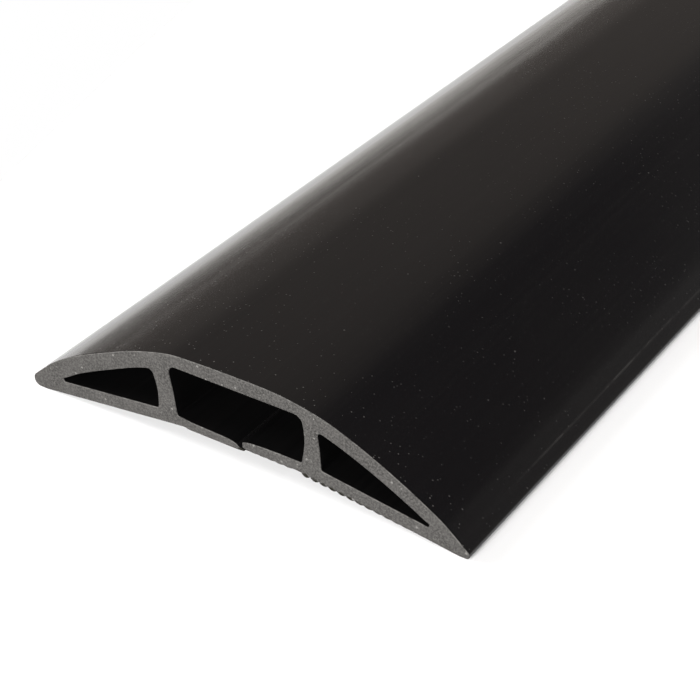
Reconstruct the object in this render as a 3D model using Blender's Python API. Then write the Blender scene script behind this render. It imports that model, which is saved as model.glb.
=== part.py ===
"""Three-channel cable protector strip, extruded from black flexible rubber compound.

Frame: X across the strip, Y along it, Z up. The origin is on the ground, under the
middle of the strip. The two noses rest on Z = 0.

The strip is one extrusion. It is divided here only where it really bends:
  - crown_wall, the roof of the middle channel, bends at both ends when a side is lifted
  - left_floor_lip and right_floor_lip bend where they leave the feet of the webs
The two sides of the strip, left_flank and right_flank, keep their shape.
"""

import math

import bmesh
import bpy

# ---------------------------------------------------------------- driving dimensions (m)

LENGTH = 1.0                # one strip, end to end
WIDTH = 0.1008              # nose to nose
HEIGHT = 0.02027            # crown above the ground
GAP = 0.0003                # between pieces that meet

CROWN_WALL = 0.0031         # roof of the middle channel
CHANNEL = 0.0300            # width of the middle channel between its webs, at mid height
WEB = 0.0036                # thickness of each web at mid height
FOOT_FLAT = 0.0015          # flat on the underside of each nose
NOSE_RUN = 0.0020           # from the end of the arch's curve to each nose tip
WAIST_RADIUS = 0.020        # blend between the upper and lower halves of a web's faces
FLOOR_STUB = 0.0020         # floor that stays with the web, from its foot to the lip's bend
SLIT = 0.0012               # place of the slit, to the right of the middle

RIB_PITCH = 0.00195         # grip ribs under the right flank
RIB_COUNT = 10
RIB_DEPTH = 0.00055         # depth of the innermost rib: they fade out towards the nose
RIB_INSET = 0.00085         # from the lip's end of the floor to the innermost rib
RIB_STEPS = 4               # straight pieces in the outline of one rib

ARCH_STEP = 0.0015          # spacing of the points along the arch
TIP_SEARCH = 0.0001         # step in looking for the place where a side channel ends
ARC_STEP = math.radians(15)
MOST_CUT = 0.48             # a rounded corner takes at most this share of each line beside it
SHARP = math.radians(25)    # edges between faces turned by more than this stay crisp

# Each side of the strip. Heights along the arch are shares of HEIGHT at shares of half
# the WIDTH. "wall" is the thickness over the side channel, at the web and at the nose.
# Web faces are given at the top, the waist and the foot: "inner" is how far the channel
# face stands from the nominal channel wall, and "flare" is added to WEB.
LEFT = {
    "sign": -1,
    "arch": (
        (0.000, 1.000),
        (0.198, 0.993),
        (0.298, 0.980),
        (0.397, 0.928),
        (0.496, 0.851),
        (0.595, 0.750),
        (0.704, 0.627),
        (0.794, 0.511),
        (0.893, 0.350),
        (0.962, 0.197),
    ),
    "wall": (0.0037, 0.0034),
    "nose": 0.0016,
    "rise": 0.0042,
    "side_floor": 0.0030,
    "channel_tip": 0.0014,
    "lip": 0.00200,
    "inner": (0.00080, -0.00030, -0.00110),
    "flare": (0.00025, 0.0, 0.00090),
    "roof_corner": 0.0016,
    "floor_corner": 0.0010,
    "side_corner": 0.0016,
    "ribs": False,
}
RIGHT = {
    "sign": 1,
    "arch": (
        (0.000, 1.000),
        (0.099, 0.999),
        (0.198, 0.987),
        (0.298, 0.952),
        (0.397, 0.898),
        (0.496, 0.809),
        (0.595, 0.701),
        (0.694, 0.577),
        (0.794, 0.437),
        (0.893, 0.282),
        (0.972, 0.113),
    ),
    "wall": (0.0034, 0.0027),
    "nose": 0.0008,
    "rise": 0.0046,
    "side_floor": 0.0028,
    "channel_tip": 0.0009,
    "lip": 0.0022,
    "inner": (-0.00025, 0.00020, -0.00025),
    "flare": (-0.00010, 0.0, 0.00065),
    "roof_corner": 0.0020,
    "floor_corner": 0.0005,
    "side_corner": 0.0009,
    "ribs": True,
}

# Ends of the lips at the slit, from the top round to the underside: how far each point is
# from the end face, then how far below the top or above the bottom of the slab.
LEFT_TOE_TOP = (
    (0.0060, 0.00027),
    (0.0030, 0.00050),
    (0.0017, 0.00080),
    (0.0008, 0.00125),
)
LEFT_TOE_BOTTOM = (
    (0.0, 0.00025),
    (0.0, 0.00005),
    (0.0003, 0.0),
)
RIGHT_END_TOP = (
    (0.0050, 0.00010),
    (0.0020, 0.00030),
    (0.0006, 0.00055),
    (0.0, 0.00090),
)
RIGHT_END_BOTTOM = (
    (0.0, 0.00035),
    (0.0006, 0.0),
)

RUBBER = (0.020, 0.020, 0.021)
ROUGHNESS = 0.45


# ---------------------------------------------------------------- plane geometry
# Each side is drawn as (u, z), with u the distance from the middle of the strip.


def arch(side, u):
    """Height of the outer surface at u: a smooth curve through the side's stations."""
    half = WIDTH / 2
    xs = [share * half for share, _ in side["arch"]]
    zs = [share * HEIGHT for _, share in side["arch"]]
    slopes = [0.0]
    for i in range(1, len(xs) - 1):
        slopes.append((zs[i + 1] - zs[i - 1]) / (xs[i + 1] - xs[i - 1]))
    slopes.append((zs[-1] - zs[-2]) / (xs[-1] - xs[-2]))
    if u <= 0.0:
        return zs[0]
    i = 0
    while i < len(xs) - 2 and u > xs[i + 1]:
        i += 1
    run = xs[i + 1] - xs[i]
    t = min((u - xs[i]) / run, 1.0)
    past = max(u - xs[-1], 0.0)
    start = (2 * t**3 - 3 * t**2 + 1) * zs[i] + (t**3 - 2 * t**2 + t) * run * slopes[i]
    end = (3 * t**2 - 2 * t**3) * zs[i + 1] + (t**3 - t**2) * run * slopes[i + 1]
    return start + end + past * slopes[-1]


def arch_slope(side, u):
    step = ARCH_STEP / 10
    return (arch(side, u + step) - arch(side, u - step)) / (2 * step)


def underside(side, u):
    """Height of the underside at u: a slope up from the foot flat, then level."""
    foot = WIDTH / 2 - side["nose"] - FOOT_FLAT
    level = lip_bend(side) + FLOOR_STUB / 2
    return side["rise"] * min(max((foot - u) / (foot - level), 0.0), 1.0)


def web_faces(side):
    """The three u of the web's inner face, then of its outer face: top, waist, foot."""
    inner = [CHANNEL / 2 + shift for shift in side["inner"]]
    outer = [u + WEB + extra for u, extra in zip(inner, side["flare"])]
    return inner, outer


def roof_height():
    return HEIGHT - CROWN_WALL


def floor_height(side):
    return side["rise"] + side["lip"]


def crown_bend(side):
    """u of the line along which the crown wall bends, clear of the roof corner."""
    inner, _ = web_faces(side)
    return inner[0] - side["roof_corner"] - GAP


def lip_bend(side):
    """u of the line along which the floor lip bends."""
    inner, _ = web_faces(side)
    return inner[2] - FLOOR_STUB


def lip_centre(side):
    return lip_bend(side), side["rise"] + side["lip"] / 2


def arc(centre, radius, start, end):
    """Points on an arc from one angle to another, both ends included."""
    steps = max(2, math.ceil(abs(end - start) / ARC_STEP))
    angles = [start + (end - start) * i / steps for i in range(steps + 1)]
    return [(centre[0] + radius * math.cos(a), centre[1] + radius * math.sin(a)) for a in angles]


def rounded(corners):
    """An open run of corners (u, z, radius), each with an arc of its radius."""
    points = []
    for i, (u, z, radius) in enumerate(corners):
        if radius == 0.0:
            points.append((u, z))
            continue
        before = (corners[i - 1][0] - u, corners[i - 1][1] - z)
        after = (corners[i + 1][0] - u, corners[i + 1][1] - z)
        reach_before = math.hypot(*before)
        reach_after = math.hypot(*after)
        a = (before[0] / reach_before, before[1] / reach_before)
        b = (after[0] / reach_after, after[1] / reach_after)
        half_angle = math.acos(max(-1.0, min(1.0, a[0] * b[0] + a[1] * b[1]))) / 2
        cut = min(radius / math.tan(half_angle), MOST_CUT * reach_before, MOST_CUT * reach_after)
        radius = cut * math.tan(half_angle)
        away = cut / math.cos(half_angle) / math.hypot(a[0] + b[0], a[1] + b[1])
        centre = (u + (a[0] + b[0]) * away, z + (a[1] + b[1]) * away)
        start = math.atan2(z + a[1] * cut - centre[1], u + a[0] * cut - centre[0])
        end = math.atan2(z + b[1] * cut - centre[1], u + b[0] * cut - centre[0])
        turn = (end - start + math.pi) % (2 * math.pi) - math.pi
        points += arc(centre, radius, start, start + turn)
    return points


def spaced(start, end, step):
    """Values from start to end, about one step apart, both ends included."""
    count = max(1, math.ceil(abs(end - start) / step))
    return [start + (end - start) * i / count for i in range(count + 1)]


# ---------------------------------------------------------------- outlines of the pieces


def nose(side):
    """The rounded nose: from where the arch's last run touches it to the foot flat."""
    radius = side["nose"]
    centre = (WIDTH / 2 - radius, radius)
    shoulder = WIDTH / 2 - NOSE_RUN
    du = shoulder - centre[0]
    dz = arch(side, shoulder) - centre[1]
    touch = math.atan2(dz, du) - math.acos(radius / math.hypot(du, dz))
    return arc(centre, radius, touch, -math.pi / 2)


def ribbed_underside(side, start, end):
    """The underside from the outer u to the inner u, with its grip ribs if it has any."""
    level = lip_bend(side) + FLOOR_STUB / 2
    if not side["ribs"]:
        return [(u, underside(side, u)) for u in (start, level, end)]
    innermost = level + RIB_INSET
    points = [(start, underside(side, start))]
    for rib in reversed(range(RIB_COUNT)):
        depth = RIB_DEPTH * (1 - rib / RIB_COUNT)
        for step in range(RIB_STEPS):
            share = 1 - step / RIB_STEPS
            u = innermost + RIB_PITCH * (rib + share)
            points.append((u, underside(side, u) - depth * math.sin(math.pi * share)))
    points.append((innermost, underside(side, innermost)))
    points.append((end, underside(side, end)))
    return points


def socket(side):
    """The hollow in the end of the floor stub that the round root of the lip sits in."""
    centre = lip_centre(side)
    radius = side["lip"] / 2 + GAP
    mouth = math.asin(side["lip"] / 2 / radius)
    return arc(centre, radius, -mouth, mouth)


def flank_outline(side):
    """Joint face, arch, nose, underside, lip socket, web and roof corner of one side."""
    joint = crown_bend(side) + GAP / 2
    shoulder = WIDTH / 2 - NOSE_RUN
    outline = [(u, arch(side, u)) for u in spaced(joint, shoulder, ARCH_STEP)]
    outline += nose(side)
    foot = WIDTH / 2 - side["nose"] - FOOT_FLAT
    hollow = socket(side)
    outline += ribbed_underside(side, foot, hollow[0][0])[:-1]
    outline += hollow
    inner, _ = web_faces(side)
    roof = roof_height()
    floor = floor_height(side)
    waist = (roof + floor) / 2
    channel_wall = [
        (hollow[-1][0], floor, 0.0),
        (inner[2], floor, side["floor_corner"]),
        (inner[1], waist, WAIST_RADIUS),
        (inner[0], roof, side["roof_corner"]),
        (joint, roof, 0.0),
    ]
    outline += rounded(channel_wall)[1:]
    return outline


def side_channel_outline(side):
    """The closed channel inside one flank: it follows the arch, the web and the floor."""
    _, outer = web_faces(side)
    height = side["channel_tip"]
    at_web, at_nose = side["wall"]

    def roof(u):
        share = (u - outer[0]) / (WIDTH / 2 - outer[0])
        wall = at_web + (at_nose - at_web) * share
        return arch(side, u) - wall * math.hypot(1.0, arch_slope(side, u))

    def floor(u):
        return underside(side, u) + side["side_floor"]

    tip = outer[0]
    while roof(tip) - floor(tip) > height:
        tip += TIP_SEARCH
    waist = (roof(outer[1]) + floor(outer[1])) / 2
    start = outer[0] + 1.5 * side["side_corner"]
    roof_line = [(u, roof(u)) for u in spaced(start, tip, 2 * ARCH_STEP)]
    round_end = arc((tip, floor(tip) + height / 2), height / 2, math.pi / 2, -math.pi / 2)
    web_side = [
        (tip, floor(tip), 0.0),
        (outer[2], floor(outer[2]), 0.0),
        (outer[1], waist, WAIST_RADIUS),
        (outer[0], roof(outer[0]), side["side_corner"]),
        (*roof_line[0], 0.0),
    ]
    return roof_line[:-1] + round_end[:-1] + rounded(web_side)[:-1]


def crown_outline():
    """The roof of the middle channel between its two bend lines, as (x, z)."""
    left = -(crown_bend(LEFT) - GAP / 2)
    right = crown_bend(RIGHT) - GAP / 2
    top = [(x, arch(LEFT if x < 0 else RIGHT, abs(x))) for x in spaced(left, right, ARCH_STEP)]
    return top + [(right, roof_height()), (left, roof_height())]


def lip_outline(side, end_face, end_top, end_bottom):
    """A floor lip: its round root at the bend line, then its slab, then its end at the slit."""
    root = arc(lip_centre(side), side["lip"] / 2, -math.pi / 2, math.pi / 2)
    top = [(end_face + back, floor_height(side) - down) for back, down in end_top]
    bottom = [(end_face + back, side["rise"] + up) for back, up in end_bottom]
    return root + top + bottom


def left_lip_outline():
    """The left lip thins down to a toe at the slit."""
    return lip_outline(LEFT, -(SLIT - GAP / 2), LEFT_TOE_TOP, LEFT_TOE_BOTTOM)


def right_lip_outline():
    """The right lip has a square end, rounded above and cut away below."""
    return lip_outline(RIGHT, SLIT + GAP / 2, RIGHT_END_TOP, RIGHT_END_BOTTOM)


# ---------------------------------------------------------------- solids


def rubber(name):
    material = bpy.data.materials.new(name + "_rubber")
    material.use_nodes = True
    shader = material.node_tree.nodes["Principled BSDF"]
    shader.inputs["Base Color"].default_value = (*RUBBER, 1.0)
    shader.inputs["Roughness"].default_value = ROUGHNESS
    shader.inputs["Metallic"].default_value = 0.0
    material.diffuse_color = (*RUBBER, 1.0)
    return material


def extrusion(name, outline, hole, bend):
    """A full-length solid of an (x, z) outline, with its origin on the line bend (x, z)."""
    shape = bmesh.new()
    edges = []
    for loop in [outline, hole] if hole else [outline]:
        points = [shape.verts.new((x - bend[0], -LENGTH / 2, z - bend[1])) for x, z in loop]
        for start, end in zip(points, points[1:] + points[:1]):
            edges.append(shape.edges.new((start, end)))
    bmesh.ops.triangle_fill(shape, use_beauty=True, use_dissolve=False, edges=edges)
    end_cap = bmesh.ops.extrude_face_region(shape, geom=shape.faces[:])
    moved = [item for item in end_cap["geom"] if isinstance(item, bmesh.types.BMVert)]
    bmesh.ops.translate(shape, vec=(0.0, LENGTH, 0.0), verts=moved)
    bmesh.ops.recalc_face_normals(shape, faces=shape.faces[:])
    mesh = bpy.data.meshes.new(name)
    shape.to_mesh(mesh)
    shape.free()
    solid = bpy.data.objects.new(name, mesh)
    solid.location = (bend[0], 0.0, bend[1])
    solid.data.materials.append(rubber(name))
    bpy.context.collection.objects.link(solid)
    mesh.shade_smooth()
    mesh.set_sharp_from_angle(angle=SHARP)
    return solid


def in_place(side, points):
    """Turns (u, z) of one side to (x, z) of the strip."""
    return [(side["sign"] * u, z) for u, z in points]


def bend_line(side):
    """(x, z) of the crown's bend line at one side: on the outer surface, above the web."""
    u = crown_bend(side)
    return side["sign"] * u, arch(side, u)


def lip_line(side):
    u, z = lip_centre(side)
    return side["sign"] * u, z


def build():
    for old in list(bpy.data.objects):
        bpy.data.objects.remove(old, do_unlink=True)
    extrusion(
        "left_flank",
        in_place(LEFT, flank_outline(LEFT)),
        in_place(LEFT, side_channel_outline(LEFT)),
        (0.0, 0.0),
    )
    extrusion("crown_wall", crown_outline(), None, bend_line(LEFT))
    extrusion(
        "right_flank",
        in_place(RIGHT, flank_outline(RIGHT)),
        in_place(RIGHT, side_channel_outline(RIGHT)),
        bend_line(RIGHT),
    )
    extrusion("left_floor_lip", in_place(LEFT, left_lip_outline()), None, lip_line(LEFT))
    extrusion("right_floor_lip", in_place(RIGHT, right_lip_outline()), None, lip_line(RIGHT))


build()
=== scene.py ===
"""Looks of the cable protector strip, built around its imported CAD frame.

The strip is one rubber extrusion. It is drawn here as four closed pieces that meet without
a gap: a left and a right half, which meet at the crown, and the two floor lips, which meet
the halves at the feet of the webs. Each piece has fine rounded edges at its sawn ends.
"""

import math

import bmesh
import bpy
from mathutils import Matrix, Vector
from mathutils.noise import noise


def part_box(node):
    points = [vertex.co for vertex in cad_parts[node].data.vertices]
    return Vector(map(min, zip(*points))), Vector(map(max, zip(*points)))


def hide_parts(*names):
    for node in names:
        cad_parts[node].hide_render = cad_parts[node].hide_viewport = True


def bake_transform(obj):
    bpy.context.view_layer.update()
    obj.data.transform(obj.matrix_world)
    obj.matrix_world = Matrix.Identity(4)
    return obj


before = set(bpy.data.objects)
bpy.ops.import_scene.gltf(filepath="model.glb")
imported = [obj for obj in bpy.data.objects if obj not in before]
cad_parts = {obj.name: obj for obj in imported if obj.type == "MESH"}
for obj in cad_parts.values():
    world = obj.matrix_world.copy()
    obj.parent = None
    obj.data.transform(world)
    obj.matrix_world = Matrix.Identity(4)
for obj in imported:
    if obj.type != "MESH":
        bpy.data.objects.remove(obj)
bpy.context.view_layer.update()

# ---------------------------------------------------------------- sizes from the frame (m)

left_low, left_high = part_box("left_flank")
_, right_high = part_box("right_flank")
crown_low, crown_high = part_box("crown_wall")
FRONT = left_low.y
REAR = left_high.y
HEIGHT = crown_high.z
HALF_LEFT = -left_low.x
HALF_RIGHT = right_high.x
ROOF = crown_low.z

WEB = 0.0036                # nominal thickness of a web; each side's "flare" is added to it
CHANNEL = 0.0300            # nominal width of the middle channel, between its webs
FOOT_FLAT = 0.0015          # flat on the underside of each nose
NOSE_RUN = 0.0020           # from the end of the arch's curve to each nose tip
WAIST_RADIUS = 0.020        # blend between the upper and lower halves of a web's faces
WEB_FOOT_RADIUS = 0.0006    # corner between a web's outer face and its side channel's floor
FLOOR_STUB = 0.0020         # floor between the web's foot and the line where the lip bends
SLIT = 0.0012               # place of the slit, to the right of the middle

# ---------------------------------------------------------------- fineness of the meshes (m)

ARCH_STEP = 0.0005
FLAT_STEP = 0.0006
ARC_STEP = math.radians(7.5)
EDGE = 0.00016              # rounding of the sawn edges
EDGE_STEPS = 3
EDGE_HOLD = 0.00030         # from the rounding to the line that keeps the walls' shading flat
BURR = 0.00003              # unevenness of the sawn edges

CREASE = math.radians(38)   # edges between faces turned by more than this stay crisp
TIP_SEARCH = 0.0001         # step in looking for the place where a side channel ends
MOST_CUT = 0.48             # a rounded corner takes at most this share of each line beside it

# ---------------------------------------------------------------- small features (m)

RIDGE = (0.0466, 0.0482, 0.0499)  # u where the right edge's faint ridge starts, peaks, ends
RIDGE_HEIGHT = 0.00009

RIB_PITCH = 0.00195         # grip ribs under the right half
RIB_COUNT = 12
RIB_DEPTH = 0.00055         # of the innermost rib
RIB_FADE = 0.9              # share of the depth that is lost one rib past the last
RIB_FULLNESS = 0.8          # below 1 makes a rib fuller than half a sine wave
RIB_STEPS = 8
RIB_OFFSET = 0.00085        # from the lip's seam to the innermost rib
LIP_RIB_START = 0.0016      # from the right lip's end face to its first rib
LIP_RIB_COUNT = 5
LIP_RIB_DEPTH = 0.00007
LIP_RIB_FADE = -1.5         # the lip's ribs get deeper towards the web

# Outlines of the lips, as offsets. The first number is counted from the seam towards the
# slit for a root, and from the slit's side towards the web for a toe or an end. The second
# is how far the point is below the lip's top or bottom line.
LEFT_ROOT_TOP = ((0.0, 0.0), (0.0009, 0.00014), (0.0022, 0.00028), (0.0045, 0.00038))
LEFT_TOE_TOP = (
    (0.0050, 0.00050), (0.0031, 0.00062), (0.0020, 0.00082), (0.0013, 0.00112),
    (0.0008, 0.00150), (0.0001, 0.00168),
)
LEFT_TOE_BOTTOM = (
    (-0.0004, -0.00020), (-0.0005, -0.00004), (-0.0002, 0.00010), (0.0010, 0.00024),
    (0.0060, 0.00020),
)
LEFT_ROOT_BOTTOM = ((0.0022, 0.00022), (0.0012, 0.00016), (0.0008, 0.00002))
LEFT_TOE_SHORT = 0.00002    # how far the toe's base stops short of the slit's line
RIGHT_ROOT_TOP = ((0.0, 0.0), (0.0040, 0.0))
RIGHT_END_TOP = (
    (0.0050, 0.00010), (0.0020, 0.00030), (0.0006, 0.00055), (0.0001, 0.00075), (0.0, 0.00100),
)
RIGHT_END_BOTTOM = ((0.0, -0.00040), (0.0007, 0.0))
RIGHT_END_BACK = 0.00006    # how far the end face stands back from the slit's line

# Each side of the strip. Heights along the arch are shares of HEIGHT at shares of "half".
# "wall" is the thickness over the side channel, at the web and at the nose. Web faces are
# given at the top, the waist and the foot: "inner" is how far the channel face stands from
# the nominal channel wall, and "flare" is added to WEB.

LEFT = {
    "sign": -1,
    "half": HALF_LEFT,
    "arch": (
        (0.000, 1.000), (0.198, 0.991), (0.298, 0.975), (0.397, 0.917), (0.496, 0.837),
        (0.595, 0.734), (0.704, 0.613), (0.794, 0.502), (0.893, 0.346), (0.962, 0.197),
    ),
    "wall": (0.0035, 0.0040),
    "nose": 0.0016,
    "rise": 0.0042,
    "side_floor": 0.0029,
    "channel_tip": 0.0010,
    "lip": 0.00200,
    "inner": (0.00080, -0.00030, -0.00110),
    "flare": (0.00025, 0.0, 0.00090),
    "roof_corner": 0.0016,
    "floor_corner": 0.0010,
    "side_corner": 0.0016,
    "ribs": False,
}
RIGHT = {
    "sign": 1,
    "half": HALF_RIGHT,
    "arch": (
        (0.000, 1.000), (0.099, 0.999), (0.198, 0.987), (0.298, 0.950), (0.397, 0.893),
        (0.496, 0.803), (0.595, 0.695), (0.694, 0.572), (0.794, 0.434), (0.893, 0.282),
        (0.972, 0.113),
    ),
    "wall": (0.0034, 0.0027),
    "nose": 0.0008,
    "rise": 0.0046,
    "side_floor": 0.0028,
    "channel_tip": 0.0009,
    "lip": 0.0022,
    "inner": (-0.00025, 0.00060, -0.00030),
    "flare": (-0.00020, -0.00050, 0.00070),
    "roof_corner": 0.0020,
    "floor_corner": 0.0005,
    "side_corner": 0.0014,
    "ribs": True,
}


# ---------------------------------------------------------------- the section's lines
# Each side is drawn as (u, z), with u the distance from the middle of the strip.


def arch(side, u):
    """Height of the outer surface at u: a smooth curve through the side's stations."""
    half = side["half"]
    xs = [share * half for share, _ in side["arch"]]
    zs = [share * HEIGHT for _, share in side["arch"]]
    slopes = [0.0]
    for i in range(1, len(xs) - 1):
        slopes.append((zs[i + 1] - zs[i - 1]) / (xs[i + 1] - xs[i - 1]))
    slopes.append((zs[-1] - zs[-2]) / (xs[-1] - xs[-2]))
    if u <= 0.0:
        return zs[0]
    i = 0
    while i < len(xs) - 2 and u > xs[i + 1]:
        i += 1
    run = xs[i + 1] - xs[i]
    t = min((u - xs[i]) / run, 1.0)
    past = max(u - xs[-1], 0.0)
    start = (2 * t**3 - 3 * t**2 + 1) * zs[i] + (t**3 - 2 * t**2 + t) * run * slopes[i]
    end = (3 * t**2 - 2 * t**3) * zs[i + 1] + (t**3 - t**2) * run * slopes[i + 1]
    return min(start + end + past * slopes[-1], HEIGHT)


def arch_slope(side, u):
    step = 0.00015
    return (arch(side, u + step) - arch(side, u - step)) / (2 * step)


def web_faces(side):
    inner = [CHANNEL / 2 + shift for shift in side["inner"]]
    outer = [u + WEB + extra for u, extra in zip(inner, side["flare"])]
    return inner, outer


def lip_bend(side):
    return web_faces(side)[0][2] - FLOOR_STUB


def lip_seam(side):
    """u where the lip's piece meets the half's piece, just outside the bend."""
    return lip_bend(side) + FLOOR_STUB / 2


def underside(side, u):
    """Height of the underside at u: a slope up from the foot flat, then level."""
    foot = side["half"] - side["nose"] - FOOT_FLAT
    level = lip_seam(side)
    return side["rise"] * min(max((foot - u) / (foot - level), 0.0), 1.0)


def floor_height(side):
    return side["rise"] + side["lip"]


def arc(centre, radius, start, end):
    steps = max(2, math.ceil(abs(end - start) / ARC_STEP))
    angles = [start + (end - start) * i / steps for i in range(steps + 1)]
    return [(centre[0] + radius * math.cos(a), centre[1] + radius * math.sin(a)) for a in angles]


def rounded(corners):
    """An open run of corners (u, z, radius), each with an arc of its radius."""
    points = []
    for i, (u, z, radius) in enumerate(corners):
        if radius == 0.0:
            points.append((u, z))
            continue
        before = (corners[i - 1][0] - u, corners[i - 1][1] - z)
        after = (corners[i + 1][0] - u, corners[i + 1][1] - z)
        reach_before = math.hypot(*before)
        reach_after = math.hypot(*after)
        a = (before[0] / reach_before, before[1] / reach_before)
        b = (after[0] / reach_after, after[1] / reach_after)
        half_angle = math.acos(max(-1.0, min(1.0, a[0] * b[0] + a[1] * b[1]))) / 2
        cut = min(radius / math.tan(half_angle), MOST_CUT * reach_before, MOST_CUT * reach_after)
        radius = cut * math.tan(half_angle)
        away = cut / math.cos(half_angle) / math.hypot(a[0] + b[0], a[1] + b[1])
        centre = (u + (a[0] + b[0]) * away, z + (a[1] + b[1]) * away)
        start = math.atan2(z + a[1] * cut - centre[1], u + a[0] * cut - centre[0])
        end = math.atan2(z + b[1] * cut - centre[1], u + b[0] * cut - centre[0])
        turn = (end - start + math.pi) % (2 * math.pi) - math.pi
        points += arc(centre, radius, start, start + turn)
    return points


def spaced(start, end, step):
    count = max(1, math.ceil(abs(end - start) / step))
    return [start + (end - start) * i / count for i in range(count + 1)]


def refined(points, step):
    """The same closed line with extra points, so that no piece of it is longer than step."""
    made = []
    for (u0, z0), (u1, z1) in zip(points, points[1:] + points[:1]):
        count = max(1, math.ceil(math.hypot(u1 - u0, z1 - z0) / step))
        made += [(u0 + (u1 - u0) * i / count, z0 + (z1 - z0) * i / count) for i in range(count)]
    return made


# ---------------------------------------------------------------- outlines of the pieces


def nose(side):
    """The rounded nose: from where the arch's last run touches it to the foot flat."""
    radius = side["nose"]
    centre = (side["half"] - radius, radius)
    shoulder = side["half"] - NOSE_RUN
    du = shoulder - centre[0]
    dz = arch(side, shoulder) - centre[1]
    touch = math.atan2(dz, du) - math.acos(radius / math.hypot(du, dz))
    return arc(centre, radius, touch, -math.pi / 2)


def scallops(side, start, count, depth, fade):
    """Grip ribs from the u of the innermost one outward, listed from the outer to the inner."""
    points = []
    for rib in reversed(range(count)):
        deep = depth * (1 - fade * rib / count)
        for step in range(RIB_STEPS):
            share = 1 - step / RIB_STEPS
            u = start + RIB_PITCH * (rib + share)
            bulge = deep * math.sin(math.pi * share) ** RIB_FULLNESS
            points.append((u, underside(side, u) - bulge))
    points.append((start, underside(side, start)))
    return points


def ridge(u):
    """Height of the faint ridge that the extruder's die left along the right edge."""
    start, peak, end = RIDGE
    share = (u - start) / (peak - start) if u < peak else (end - u) / (end - peak)
    return RIDGE_HEIGHT * max(share, 0.0)


def outer_surface(side, u):
    return arch(side, u) + (ridge(u) if side["ribs"] else 0.0)


def half_outline(side):
    """Half of the strip, from the crown's middle over the nose and back along the roof."""
    shoulder = side["half"] - NOSE_RUN
    outline = [(u, outer_surface(side, u)) for u in spaced(0.0, shoulder, ARCH_STEP)]
    outline += nose(side)
    foot = side["half"] - side["nose"] - FOOT_FLAT
    seam = lip_seam(side)
    outline.append((foot, underside(side, foot)))
    if side["ribs"]:
        outline += scallops(side, seam + RIB_OFFSET, RIB_COUNT, RIB_DEPTH, RIB_FADE)
    outline.append((seam, underside(side, seam)))
    inner, _ = web_faces(side)
    floor = floor_height(side)
    waist = (ROOF + floor) / 2
    channel_wall = [
        (seam, floor, 0.0),
        (inner[2], floor, side["floor_corner"]),
        (inner[1], waist, WAIST_RADIUS),
        (inner[0], ROOF, side["roof_corner"]),
        (0.0, ROOF, 0.0),
    ]
    return outline + rounded(channel_wall)


def side_channel_outline(side):
    """The closed channel inside one half: it follows the arch, the web and the floor."""
    _, outer = web_faces(side)
    height = side["channel_tip"]
    at_web, at_nose = side["wall"]

    def roof(u):
        share = (u - outer[0]) / (side["half"] - outer[0])
        wall = at_web + (at_nose - at_web) * share
        return arch(side, u) - wall * math.hypot(1.0, arch_slope(side, u))

    def floor(u):
        return underside(side, u) + side["side_floor"]

    tip = outer[0]
    while roof(tip) - floor(tip) > height:
        tip += TIP_SEARCH
    waist = (roof(outer[1]) + floor(outer[1])) / 2
    start = outer[0] + 1.5 * side["side_corner"]
    roof_line = [(u, roof(u)) for u in spaced(start, tip, 2 * ARCH_STEP)]
    round_end = arc((tip, floor(tip) + height / 2), height / 2, math.pi / 2, -math.pi / 2)
    web_side = [
        (tip, floor(tip), 0.0),
        (outer[2], floor(outer[2]), WEB_FOOT_RADIUS),
        (outer[1], waist, WAIST_RADIUS),
        (outer[0], roof(outer[0]), side["side_corner"]),
        (*roof_line[0], 0.0),
    ]
    return roof_line[:-1] + round_end[:-1] + rounded(web_side)[:-1]


def shifted(u, z, offsets, along):
    """Points at (u + along * back, z - down) for each (back, down) of the offsets."""
    return [(u + along * back, z - down) for back, down in offsets]


def left_lip_outline():
    """The left lip thins down to a blunt toe that reaches past the slit's line."""
    toe = LEFT_TOE_SHORT - SLIT
    top = floor_height(LEFT)
    bottom = LEFT["rise"]
    seam = lip_seam(LEFT)
    line = [(seam, bottom)]
    line += shifted(seam, top, LEFT_ROOT_TOP, -1)
    line += shifted(toe, top, LEFT_TOE_TOP, 1)
    line += shifted(toe, bottom, LEFT_TOE_BOTTOM, 1)
    line += shifted(seam, bottom, LEFT_ROOT_BOTTOM, -1)
    return line


def right_lip_outline():
    """The right lip has a square end, rounded above and cut away below, and faint ribs."""
    end_face = SLIT + RIGHT_END_BACK
    top = floor_height(RIGHT)
    bottom = RIGHT["rise"]
    seam = lip_seam(RIGHT)
    line = [(seam, bottom)]
    line += shifted(seam, top, RIGHT_ROOT_TOP, -1)
    line += shifted(end_face, top, RIGHT_END_TOP, 1)
    line += shifted(end_face, bottom, RIGHT_END_BOTTOM, 1)
    ribs = scallops(RIGHT, end_face + LIP_RIB_START, LIP_RIB_COUNT, LIP_RIB_DEPTH, LIP_RIB_FADE)
    return line + ribs[::-1]


# ---------------------------------------------------------------- meshes

SAWN = 1                    # places of the materials in a piece's list
INSIDE = 2
SAME = 1e-7                 # two x closer than this are one
CHANNEL_MARGIN = 0.0002     # kept around the middle channel's walls in telling them from others
BURR_SCALE = 900.0          # bumps of a sawn edge per metre
END_SEED = 7.0              # makes the far end's burr unlike the near one's


def normals_of(points, held):
    """Outward normals of an anticlockwise (x, z) outline; a held point's normal is upright."""
    made = []
    count = len(points)
    for i in range(count):
        u0, z0 = points[i - 1]
        u1, z1 = points[i]
        u2, z2 = points[(i + 1) % count]
        a = Vector((z1 - z0, u0 - u1)).normalized()
        b = Vector((z2 - z1, u1 - u2)).normalized()
        n = a + b
        if n.length < 1e-9:
            n = a
        n.normalize()
        if i in held:
            n = Vector((0.0, 1.0 if n.y > 0 else -1.0))
        made.append(n)
    return made


def area(points):
    return sum(
        a[0] * b[1] - b[0] * a[1] for a, b in zip(points, points[1:] + points[:1])
    ) / 2


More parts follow.
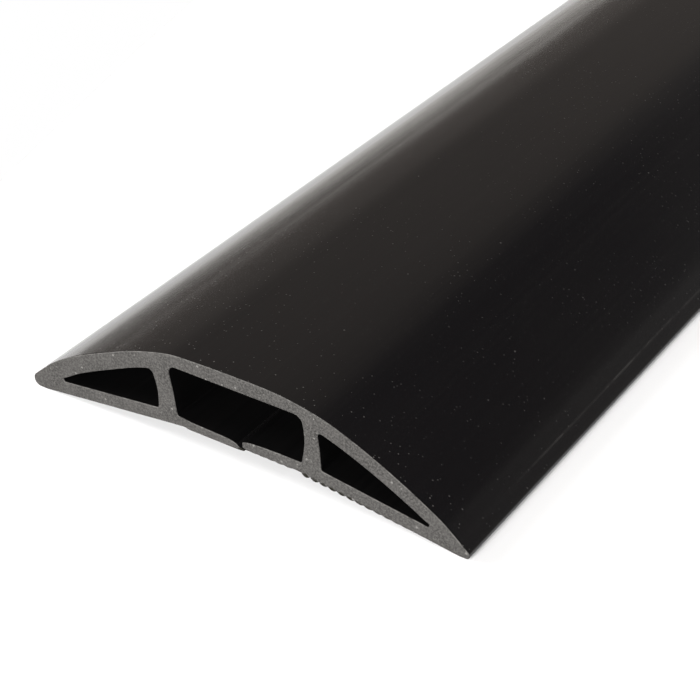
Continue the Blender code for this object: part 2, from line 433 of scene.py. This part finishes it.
def in_channel(a, b):
    """Whether a stretch of outline lies on a wall of the middle channel."""
    side = LEFT if a.x + b.x < 0.0 else RIGHT
    reach = max(web_faces(side)[0]) + CHANNEL_MARGIN
    z = (a.z + b.z) / 2
    floor = side["rise"] + 2 * CHANNEL_MARGIN
    return abs(a.x + b.x) / 2 < reach and floor < z < ROOF + CHANNEL_MARGIN / 2


def end_rings(mesh, points, seams, end):
    """Rings of vertices from a sawn face, round its edge and a little way along the walls."""
    held = set()
    for i, (x, _) in enumerate(points):
        if any(abs(x - seam) < SAME for seam in seams):
            held.add(i)
    normals = normals_of(points, held)
    y, inward = ((FRONT, 1), (REAR, -1))[end]
    rings = []
    for step in range(EDGE_STEPS + 2):
        share = min(step / EDGE_STEPS, 1.0)
        angle = math.pi / 2 * share
        drop = EDGE * (1 - math.sin(angle))
        back = EDGE * (1 - math.cos(angle))
        if step > EDGE_STEPS:
            back += EDGE_HOLD
        ring = []
        for (x, z), n in zip(points, normals):
            seed = Vector((x * BURR_SCALE, z * BURR_SCALE, end * END_SEED + step))
            depth = back + BURR * abs(noise(seed)) * (1 - share)
            ring.append(mesh.verts.new((x - n.x * drop, y + inward * depth, z - n.y * drop)))
        rings.append(ring)
    return rings


def add_walls(mesh, front, rear, closed_in):
    """Faces from the near sawn face's ring to the far one's."""
    chain = front + rear[::-1]
    for position, (ring, after) in enumerate(zip(chain, chain[1:])):
        count = len(ring)
        wall = EDGE_STEPS <= position <= EDGE_STEPS + 2
        for i in range(count):
            j = (i + 1) % count
            face = mesh.faces.new((ring[i], ring[j], after[j], after[i]))
            face.smooth = True
            if not wall:
                face.material_index = SAWN
            elif closed_in or in_channel(ring[i].co, ring[j].co):
                face.material_index = INSIDE


def add_sawn_face(mesh, rings):
    """A flat face between the outline's ring and the hole's, if there is a hole."""
    edges = []
    for ring in rings:
        for i in range(len(ring)):
            edges.append(mesh.edges.get((ring[i], ring[(i + 1) % len(ring)])))
    made = bmesh.ops.triangle_fill(mesh, use_beauty=True, use_dissolve=False, edges=edges)
    for item in made["geom"]:
        if isinstance(item, bmesh.types.BMFace):
            item.material_index = SAWN
            item.smooth = False


def solid(name, outline, hole, seams, materials):
    """A full-length closed piece of an (x, z) outline with finely rounded sawn ends.

    seams are the x of the flat faces where this piece meets its neighbour: the rounding
    leaves these in their plane, so that the pieces stay joined. The materials are those
    of the skin, the sawn ends and the channels' walls.
    """
    mesh = bmesh.new()
    loops = []
    for points, inside in [(outline, False)] + ([(hole, True)] if hole else []):
        if (area(points) < 0) != inside:
            points = points[::-1]
        loops.append([end_rings(mesh, points, seams, end) for end in (0, 1)])
    for closed_in, (front, rear) in enumerate(loops):
        add_walls(mesh, front, rear, closed_in)
    for end in (0, 1):
        add_sawn_face(mesh, [rings[end][0] for rings in loops])
    bmesh.ops.recalc_face_normals(mesh, faces=mesh.faces[:])
    data = bpy.data.meshes.new(name)
    mesh.to_mesh(data)
    mesh.free()
    data.set_sharp_from_angle(angle=CREASE)
    piece = bpy.data.objects.new(name, data)
    for material in materials:
        data.materials.append(material)
    bpy.context.scene.collection.objects.link(piece)
    return piece


def in_place(side, points):
    return [(side["sign"] * u, z) for u, z in points]


# ---------------------------------------------------------------- materials
# Noise scales are bumps per metre along x, y and z; the extruder's lines run along y.

CLOUD = (26.0, 11.0, 26.0)
STREAK = (900.0, 4.0, 900.0)
FINE_STREAK = (3600.0, 30.0, 3600.0)
GRAIN = (5200.0, 5200.0, 5200.0)
DUST_GATHER = (30.0, 30.0, 30.0)
MOTTLE = (260.0, 260.0, 260.0)
GRANULES = (2100.0, 2100.0, 2100.0)
GRIT = (4600.0, 4600.0, 4600.0)
SAW_MARKS = (1600.0, 500.0, 5200.0)
FLECK_GATHER = (140.0, 140.0, 140.0)
# breaks up the painted highlight where the sawn edge's rounding faces up
RIM_HIGHLIGHT_BREAKS = (700.0, 700.0, 700.0)
# these two bend and break up the painted highlight along the right edge's ridge
RIDGE_SHINE_WANDER = (0.0, 9.0, 0.0)
RIDGE_SHINE_BREAKS = (0.0, 70.0, 0.0)
# breaks up the painted shade on the ribs' tips and the toe
TIP_SHADE_BREAKS = (900.0, 1.0, 900.0)

SKIN_TONES = ((0.0050, 0.0046, 0.0050), (0.0062, 0.0057, 0.0058))
SKIN_STREAK = (0.0078, 0.0073, 0.0071)
SKIN_DUST = (0.105, 0.100, 0.094)
# darker than the skin: painted shade on the channels' walls
INSIDE_SHADE_TONES = ((0.0022, 0.0021, 0.0022), (0.0034, 0.0032, 0.0032))
INSIDE_DUST = (0.050, 0.048, 0.045)
CUT_TONES = ((0.0160, 0.0154, 0.0147), (0.0330, 0.0316, 0.0302))
CUT_GRANULE = (0.0700, 0.0670, 0.0635)
CUT_GRIT = (0.0780, 0.0747, 0.0708)
CUT_MARK = (0.0500, 0.0480, 0.0455)
CUT_PIT = (0.0120, 0.0115, 0.0108)
CUT_FLECK = (0.130, 0.126, 0.118)
CUT_CRUMB = (0.160, 0.155, 0.147)
# painted highlight where the sawn edge's rounding faces up
CUT_RIM_HIGHLIGHT = (0.120, 0.116, 0.110)
# painted shade on the ribs' lowest tips and on the toe under the right lip's end
CUT_TIP_SHADE = (0.0080, 0.0074, 0.0048)
FLOOR_LEFT = (0.86, 0.83, 0.785)
FLOOR_RIGHT = (0.90, 0.90, 0.90)

# Places (m)
NEAR_DUST = (0.004, 0.014)      # from the near end: extra dust is full up to one, gone by the other
RIDGE_SHINE_START = (0.018, 0.034)    # from the near end: the painted highlight along the ridge fades in between these
RIDGE_SHINE_EDGE = (0.00005, 0.00024)
RIDGE_SHINE_STRAY = 0.0006            # how far the painted highlight line strays from the ridge
TIP_START = (-0.00006, 0.00010)  # below the underside's line: painted shade on a rib's tip fades in between these
TIPS_FROM = 0.0045              # x beyond which shade is painted on the ribs' tips
BLOB_WIDTH = 0.00068            # half sizes of the patch of painted shade on a rib's sawn tip
BLOB_HEIGHT = 0.00052
BLOB_DROP = 0.00012
BLOB_LAST = (5.5, 9.0)          # ribs over which the patches get fainter
TOE_SHIFT = 0.0001              # from the slit's line and the left lip's bottom to the toe's middle
TOE_WIDTH = 0.0009              # half sizes of the patch of painted shade on the toe, under the right lip's end
TOE_HEIGHT = 0.0006
FLOOR_FADE = (-0.12, -0.06)     # x between which the board turns from warm to white


class Nodes:
    """A short way to write shader nodes."""

    def __init__(self, name):
        self.material = bpy.data.materials.new(name)
        self.material.use_nodes = True
        self.tree = self.material.node_tree
        self.shader = self.tree.nodes["Principled BSDF"]

    def add(self, kind, inputs=(), **settings):
        node = self.tree.nodes.new(kind)
        for key, value in settings.items():
            setattr(node, key, value)
        for key, value in dict(inputs).items():
            self.put(node.inputs[key], value)
        return node

    def put(self, socket, value):
        if isinstance(value, bpy.types.NodeSocket):
            self.tree.links.new(value, socket)
        else:
            socket.default_value = value

    def math(self, operation, a, b=0.0, clamp=False):
        node = self.add("ShaderNodeMath", operation=operation, use_clamp=clamp)
        for socket, value in zip(node.inputs, (a, b)):
            self.put(socket, value)
        return node.outputs[0]

    def times(self, *factors):
        product = factors[0]
        for factor in factors[1:]:
            product = self.math("MULTIPLY", product, factor)
        return product

    def position(self):
        """x, y and z in the object's own coordinates, in metres."""
        where = self.add("ShaderNodeTexCoord").outputs["Object"]
        return self.add("ShaderNodeSeparateXYZ", {"Vector": where}).outputs

    def place(self, scale):
        """The object's own coordinates, in metres, times scale on each axis."""
        where = self.add("ShaderNodeTexCoord").outputs["Object"]
        node = self.add("ShaderNodeMapping", {"Vector": where})
        node.inputs["Scale"].default_value = scale
        return node.outputs["Vector"]

    def noise(self, scale, detail=3.0, roughness=0.5):
        node = self.add("ShaderNodeTexNoise", {"Vector": self.place(scale)})
        node.inputs["Scale"].default_value = 1.0
        node.inputs["Detail"].default_value = detail
        node.inputs["Roughness"].default_value = roughness
        return node.outputs["Fac"]

    def ramp(self, value, low, high, out_low=0.0, out_high=1.0):
        node = self.add("ShaderNodeMapRange", {"Value": value})
        node.inputs["From Min"].default_value = low
        node.inputs["From Max"].default_value = high
        node.inputs["To Min"].default_value = out_low
        node.inputs["To Max"].default_value = out_high
        return node.outputs["Result"]

    def mix(self, share, a, b):
        """From a to b; each is a colour socket or an (r, g, b)."""
        node = self.add("ShaderNodeMix", data_type="RGBA")
        self.put(node.inputs["Factor"], share)
        colours = [s for s in node.inputs if s.type == "RGBA"]
        for socket, value in zip(colours, (a, b)):
            self.put(socket, (*value, 1.0) if isinstance(value, tuple) else value)
        return [s for s in node.outputs if s.type == "RGBA"][0]

    def ellipse(self, u, v):
        """Squared distance from a middle, with u and v measured in half sizes from it."""
        return self.math("ADD", self.times(u, u), self.times(v, v))

    def specks(self, cell, radius, chosen):
        """White where a small round speck is: one in each chosen share of the cells."""
        near = self.add("ShaderNodeTexVoronoi", {"Vector": self.place((1 / cell,) * 3)})
        near.inputs["Scale"].default_value = 1.0
        spread = self.add("ShaderNodeSeparateColor", {"Color": near.outputs["Color"]})
        size = self.math("MULTIPLY", spread.outputs["Green"], radius / cell)
        inside = self.math("LESS_THAN", near.outputs["Distance"], size)
        picked = self.math("LESS_THAN", spread.outputs["Red"], chosen)
        return self.math("MULTIPLY", inside, picked)

    def bump(self, height, distance, after=None):
        node = self.add("ShaderNodeBump", {"Height": height})
        node.inputs["Distance"].default_value = distance
        node.inputs["Strength"].default_value = 1.0
        if after is not None:
            self.put(node.inputs["Normal"], after)
        return node.outputs["Normal"]


def near_end(n):
    """Above 1 beside the near sawn end, then falling to 0."""
    _, y, _ = n.position()
    return n.ramp(y, FRONT + NEAR_DUST[0], FRONT + NEAR_DUST[1], 1.6, 0.0)


def ridge_highlight(n):
    """Painted highlight: a faint broken light line along the right edge's ridge, a little way from
    the near end.
    """
    x, y, _ = n.position()
    stray = n.ramp(n.noise(RIDGE_SHINE_WANDER, 1.0), 0.0, 1.0, -RIDGE_SHINE_STRAY, RIDGE_SHINE_STRAY)
    from_ridge = n.math("SUBTRACT", x, RIDGE[1])
    off = n.math("ABSOLUTE", n.math("SUBTRACT", from_ridge, stray))
    line = n.ramp(off, *RIDGE_SHINE_EDGE, 1.0, 0.0)
    line = n.times(line, n.ramp(y, FRONT + RIDGE_SHINE_START[0], FRONT + RIDGE_SHINE_START[1]))
    broken = n.ramp(n.noise(RIDGE_SHINE_BREAKS, 3.0, 0.7), 0.42, 0.62, 0.02, 0.20)
    return n.times(line, broken)


def rim_highlight(n):
    """Painted highlight: white where the sawn edge is rounded and faces up, broken in places."""
    facing = n.add("ShaderNodeTexCoord").outputs["Normal"]
    up = n.add("ShaderNodeSeparateXYZ", {"Vector": facing}).outputs["Z"]
    broken = n.ramp(n.noise(RIM_HIGHLIGHT_BREAKS, 2.0), 0.38, 0.62, 0.05, 0.70)
    return n.times(n.ramp(up, 0.10, 0.45), broken)


def painted_rib_tip_shade(n, x, z):
    """Painted shade: white on the lowest tips of the grip ribs."""
    foot = RIGHT["half"] - RIGHT["nose"] - FOOT_FLAT
    fall = RIGHT["rise"] / (foot - lip_seam(RIGHT))
    slope = n.times(n.math("SUBTRACT", foot, x), fall)
    below = n.math("SUBTRACT", n.math("MINIMUM", slope, RIGHT["rise"]), z)
    tips = n.times(n.ramp(below, *TIP_START), n.math("GREATER_THAN", x, TIPS_FROM))
    from_first = n.math("SUBTRACT", x, lip_seam(RIGHT) + RIB_OFFSET)
    rib = n.math("DIVIDE", from_first, RIB_PITCH)
    across = n.math("SUBTRACT", n.math("FRACT", rib), 0.5)
    across = n.math("DIVIDE", across, BLOB_WIDTH / RIB_PITCH)
    down = n.math("DIVIDE", n.math("SUBTRACT", below, BLOB_DROP), BLOB_HEIGHT)
    blob = n.ramp(n.ellipse(across, down), 0.5, 1.3, 1.0, 0.0)
    blob = n.times(blob, n.math("GREATER_THAN", rib, 0.0), n.ramp(rib, *BLOB_LAST, 1.0, 0.2))
    tips = n.math("MAXIMUM", tips, blob)
    return n.times(tips, n.ramp(n.noise(TIP_SHADE_BREAKS, 2.0), 0.35, 0.6, 0.55, 1.0))


def painted_tip_shade(n):
    """Painted shade: white on the lowest tips of the grip ribs and on the toe at the slit, under
    the right lip's end.
    """
    x, _, z = n.position()
    aside = n.math("DIVIDE", n.math("SUBTRACT", x, SLIT + TOE_SHIFT), TOE_WIDTH)
    above = n.math("DIVIDE", n.math("SUBTRACT", z, LEFT["rise"] + TOE_SHIFT), TOE_HEIGHT)
    toe = n.ramp(n.ellipse(aside, above), 0.8, 1.5, 0.92, 0.0)
    return n.math("MAXIMUM", painted_rib_tip_shade(n, x, z), toe)


def skin_material():
    """Extruded surface: near-black satin rubber with die lines, cloudy sheen, dust and a painted
    highlight along the right edge's ridge.
    """
    n = Nodes("extruded_black_rubber")
    cloud = n.noise(CLOUD, 4.0, 0.55)
    streak = n.noise(STREAK, 3.0, 0.6)
    fine = n.noise(FINE_STREAK, 2.0, 0.5)
    grain = n.noise(GRAIN, 2.0, 0.6)
    body = n.mix(n.ramp(cloud, 0.35, 0.65), *SKIN_TONES)
    body = n.mix(n.ramp(streak, 0.50, 0.80, 0.0, 0.5), body, SKIN_STREAK)
    patches = n.ramp(n.noise(DUST_GATHER, 2.0), 0.40, 0.62, 0.25, 1.0)
    gather = n.math("MAXIMUM", patches, near_end(n))
    dust = n.times(n.specks(0.0036, 0.00023, 0.45), 0.42)
    fine_dust = n.times(n.specks(0.0009, 0.00017, 0.65), gather, 0.36)
    # pale holds the dust and the painted highlight along the ridge
    pale = n.math("MAXIMUM", n.math("MAXIMUM", dust, fine_dust), ridge_highlight(n))
    n.put(n.shader.inputs["Base Color"], n.mix(pale, body, SKIN_DUST))
    rough = n.ramp(cloud, 0.3, 0.7, 0.15, 0.20)
    rough = n.math("ADD", rough, n.ramp(streak, 0.3, 0.7, -0.02, 0.03))
    rough = n.math("ADD", rough, n.times(pale, 0.6), clamp=True)
    n.put(n.shader.inputs["Roughness"], rough)
    normal = n.bump(cloud, 0.00012)
    normal = n.bump(streak, 0.000010, normal)
    normal = n.bump(fine, 0.000003, normal)
    normal = n.bump(grain, 0.000002, normal)
    n.put(n.shader.inputs["Normal"], normal)
    return n.material


def inside_material():
    """Walls of the cable channel and the side channels: black rubber painted darker than the skin
    as painted shade in the channels, and less glossy.
    """
    n = Nodes("channel_rubber_painted_shade")
    streak = n.noise(STREAK, 3.0, 0.6)
    grain = n.noise(GRAIN, 2.0, 0.6)
    body = n.mix(n.ramp(streak, 0.40, 0.70), *INSIDE_SHADE_TONES)
    body = n.mix(n.times(n.specks(0.0040, 0.00025, 0.30), 0.3), body, INSIDE_DUST)
    n.put(n.shader.inputs["Base Color"], body)
    n.put(n.shader.inputs["Roughness"], n.ramp(streak, 0.3, 0.7, 0.30, 0.38))
    n.shader.inputs["Specular IOR Level"].default_value = 0.15
    normal = n.bump(streak, 0.000008)
    n.put(n.shader.inputs["Normal"], n.bump(grain, 0.000003, normal))
    return n.material


def cut_material():
    """Sawn end: matte grey, granular, with pale flecks and saw marks, a painted highlight where its
    rounded edge faces up, and painted shade on the ribs' lowest tips and the toe.
    """
    n = Nodes("sawn_black_rubber")
    mottle = n.noise(MOTTLE, 4.0, 0.6)
    granules = n.noise(GRANULES, 2.0, 0.6)
    grit = n.noise(GRIT, 3.0, 0.7)
    marks = n.noise(SAW_MARKS, 3.0, 0.6)
    gather = n.ramp(n.noise(FLECK_GATHER, 2.0), 0.42, 0.60, 0.15, 1.0)
    layers = (
        (n.ramp(granules, 0.44, 0.60, 0.0, 0.75), CUT_GRANULE),
        (n.ramp(grit, 0.44, 0.62, 0.0, 0.60), CUT_GRIT),
        (n.ramp(marks, 0.52, 0.70, 0.0, 0.30), CUT_MARK),
        (n.times(n.specks(0.00110, 0.00022, 0.35), 0.7), CUT_PIT),
        (n.times(n.specks(0.00062, 0.00020, 0.50), gather, 0.55), CUT_FLECK),
        (n.times(n.specks(0.00170, 0.00028, 0.40), 0.60), CUT_CRUMB),
        # painted highlight where the sawn edge's rounding faces up
        (rim_highlight(n), CUT_RIM_HIGHLIGHT),
        # painted shade on the ribs' lowest tips and on the toe
        (painted_tip_shade(n), CUT_TIP_SHADE),
    )
    body = n.mix(n.ramp(mottle, 0.35, 0.65), *CUT_TONES)
    for share, colour in layers:
        body = n.mix(share, body, colour)
    n.put(n.shader.inputs["Base Color"], body)
    n.put(n.shader.inputs["Roughness"], n.ramp(grit, 0.3, 0.7, 0.75, 0.92))
    n.shader.inputs["Specular IOR Level"].default_value = 0.08
    normal = n.bump(marks, 0.00003)
    n.put(n.shader.inputs["Normal"], n.bump(grit, 0.00004, normal))
    return n.material


def floor_material():
    n = Nodes("studio_floor")
    x, _, _ = n.position()
    n.put(n.shader.inputs["Base Color"], n.mix(n.ramp(x, *FLOOR_FADE), FLOOR_LEFT, FLOOR_RIGHT))
    n.shader.inputs["Roughness"].default_value = 1.0
    n.shader.inputs["Specular IOR Level"].default_value = 0.0
    return n.material


# ---------------------------------------------------------------- the four pieces

skin = skin_material()
cut = cut_material()
inside = inside_material()

left_half = solid(
    "left_half",
    in_place(LEFT, refined(half_outline(LEFT), FLAT_STEP)),
    in_place(LEFT, refined(side_channel_outline(LEFT), FLAT_STEP)),
    (0.0, -lip_seam(LEFT)),
    (skin, cut, inside),
)
right_half = solid(
    "right_half",
    in_place(RIGHT, refined(half_outline(RIGHT), FLAT_STEP)),
    in_place(RIGHT, refined(side_channel_outline(RIGHT), FLAT_STEP)),
    (0.0, lip_seam(RIGHT)),
    (skin, cut, inside),
)
left_lip = solid(
    "left_lip",
    in_place(LEFT, refined(left_lip_outline(), FLAT_STEP)),
    None,
    (-lip_seam(LEFT),),
    (skin, cut, inside),
)
right_lip = solid(
    "right_lip",
    in_place(RIGHT, refined(right_lip_outline(), FLAT_STEP)),
    None,
    (lip_seam(RIGHT),),
    (skin, cut, inside),
)


def bend_crown(side, piece):
    """Bakes the piece's transform into its mesh; nothing here bends the crown."""
    if side["sign"] < 0:
        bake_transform(piece)
    else:
        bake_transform(piece)


def bend_lip(piece):
    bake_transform(piece)


bend_crown(LEFT, left_half)
bend_crown(RIGHT, right_half)
bend_lip(left_lip)
bend_lip(right_lip)
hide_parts("left_flank", "crown_wall")
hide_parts("right_flank", "crown_wall")
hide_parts("left_floor_lip")
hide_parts("right_floor_lip")

# ---------------------------------------------------------------- floor, light and camera

# The board's outline (m). Its left edge is the far side of the pale reflection along the
# left half, so it is cut closer to the strip than the other edges are.
FLOOR = (
    (-0.60, -1.40), (0.90, -1.40), (0.90, 1.20), (-0.36, 1.20), (-0.25, 0.20), (-0.172, -0.20),
    (-0.136, -0.36), (-0.112, -0.45), (-0.60, -0.80),
)

# The room: azimuths are counted from +Y toward -X.
ROOM_SPLIT = math.radians(14)
ROOM_SPLIT_SOFT = 0.07
ROOM_HIGH = math.radians(25)
ROOM_HIGH_SOFT = 0.15
ROOM_LEFT = (0.198, 0.176, 0.160)
ROOM_RIGHT_LOW = (0.30, 0.29, 0.28)
ROOM_RIGHT_HIGH = (0.050, 0.045, 0.050)

# Softboxes: place (m), the point each faces, size (m) and power (W)
SOFTBOXES = {
    "key": ((0.45, -5.1, 1.70), (0.0, -0.4, 0.0), (4.6, 1.9), 670.0),
    "side": ((-4.2, -0.9, 1.85), (0.0, -0.3, 0.0), (2.4, 1.4), 175.0),
    "top": ((-0.3, -1.8, 3.6), (0.0, -0.1, 0.0), (2.0, 2.0), 20.0),
}

CAMERA_PLACE = (0.16908, FRONT - 0.21971, 0.20747)
CAMERA_AZIMUTH = math.radians(33.2)
CAMERA_DOWN = math.radians(33.25)
CAMERA_LENS = 94.11         # mm, on a 36 mm wide sensor


def studio_floor():
    """A white board under the strip, in front of a white surround."""
    mesh = bmesh.new()
    mesh.faces.new([mesh.verts.new((x, y, 0.0)) for x, y in FLOOR])
    data = bpy.data.meshes.new("studio_floor")
    mesh.to_mesh(data)
    mesh.free()
    floor = bpy.data.objects.new("studio_floor", data)
    data.materials.append(floor_material())
    bpy.context.scene.collection.objects.link(floor)


def softbox(name, place, target, size, power):
    light = bpy.data.lights.new(name, "AREA")
    light.shape = "RECTANGLE"
    light.size, light.size_y = size
    light.energy = power
    lamp = bpy.data.objects.new(name, light)
    lamp.location = place
    lamp.rotation_mode = "QUATERNION"
    lamp.rotation_quaternion = (Vector(place) - Vector(target)).to_track_quat("Z", "Y")
    bpy.context.scene.collection.objects.link(lamp)


def surround():
    """A dim studio, warmer on the left and lighter low on the right; white to the eye."""
    world = bpy.data.worlds.new("studio")
    bpy.context.scene.world = world
    world.use_nodes = True
    tree = world.node_tree
    tree.nodes.clear()
    where = tree.nodes.new("ShaderNodeTexCoord").outputs["Generated"]

    def step(across, middle, soft):
        """0 on one side of a direction's middle value along across, 1 on the other."""
        dot = tree.nodes.new("ShaderNodeVectorMath")
        dot.operation = "DOT_PRODUCT"
        tree.links.new(where, dot.inputs[0])
        dot.inputs[1].default_value = across
        made = tree.nodes.new("ShaderNodeMapRange")
        tree.links.new(dot.outputs["Value"], made.inputs["Value"])
        made.inputs["From Min"].default_value = middle - soft
        made.inputs["From Max"].default_value = middle + soft
        return made.outputs["Result"]

    def mix(share, a, b):
        made = tree.nodes.new("ShaderNodeMix")
        made.data_type = "RGBA"
        tree.links.new(share, made.inputs["Factor"])
        colours = [s for s in made.inputs if s.type == "RGBA"]
        for socket, value in zip(colours, (a, b)):
            if isinstance(value, bpy.types.NodeSocket):
                tree.links.new(value, socket)
            else:
                socket.default_value = (*value, 1.0)
        return [s for s in made.outputs if s.type == "RGBA"][0]

    high = step((0.0, 0.0, 1.0), math.sin(ROOM_HIGH), ROOM_HIGH_SOFT)
    leftward = (-math.cos(ROOM_SPLIT), -math.sin(ROOM_SPLIT), 0.0)
    left = step(leftward, 0.0, ROOM_SPLIT_SOFT)
    room = mix(left, mix(high, ROOM_RIGHT_LOW, ROOM_RIGHT_HIGH), ROOM_LEFT)
    lit = tree.nodes.new("ShaderNodeBackground")
    tree.links.new(room, lit.inputs["Color"])
    seen = tree.nodes.new("ShaderNodeBackground")
    seen.inputs["Color"].default_value = (1.0, 1.0, 1.0, 1.0)
    path = tree.nodes.new("ShaderNodeLightPath")
    blend = tree.nodes.new("ShaderNodeMixShader")
    tree.links.new(path.outputs["Is Camera Ray"], blend.inputs["Fac"])
    tree.links.new(lit.outputs["Background"], blend.inputs[1])
    tree.links.new(seen.outputs["Background"], blend.inputs[2])
    out = tree.nodes.new("ShaderNodeOutputWorld")
    tree.links.new(blend.outputs["Shader"], out.inputs["Surface"])


def camera():
    """A long lens from the front right, looking down at the near cut end."""
    across = Vector((-math.sin(CAMERA_AZIMUTH), math.cos(CAMERA_AZIMUTH), 0.0))
    right = Vector((math.cos(CAMERA_AZIMUTH), math.sin(CAMERA_AZIMUTH), 0.0))
    forward = across * math.cos(CAMERA_DOWN) - Vector((0.0, 0.0, math.sin(CAMERA_DOWN)))
    up = right.cross(forward)
    data = bpy.data.cameras.new("camera")
    data.sensor_width = 36.0
    data.lens = CAMERA_LENS
    data.clip_start = 0.01
    data.clip_end = 50.0
    made = bpy.data.objects.new("camera", data)
    turn = Matrix((right, up, -forward)).transposed()
    made.matrix_world = Matrix.Translation(CAMERA_PLACE) @ turn.to_4x4()
    bpy.context.scene.collection.objects.link(made)
    bpy.context.scene.camera = made


studio_floor()
surround()
for box_name, box in SOFTBOXES.items():
    softbox(box_name, *box)
camera()
bpy.context.scene.view_settings.view_transform = "Standard"

bpy.context.view_layer.update()
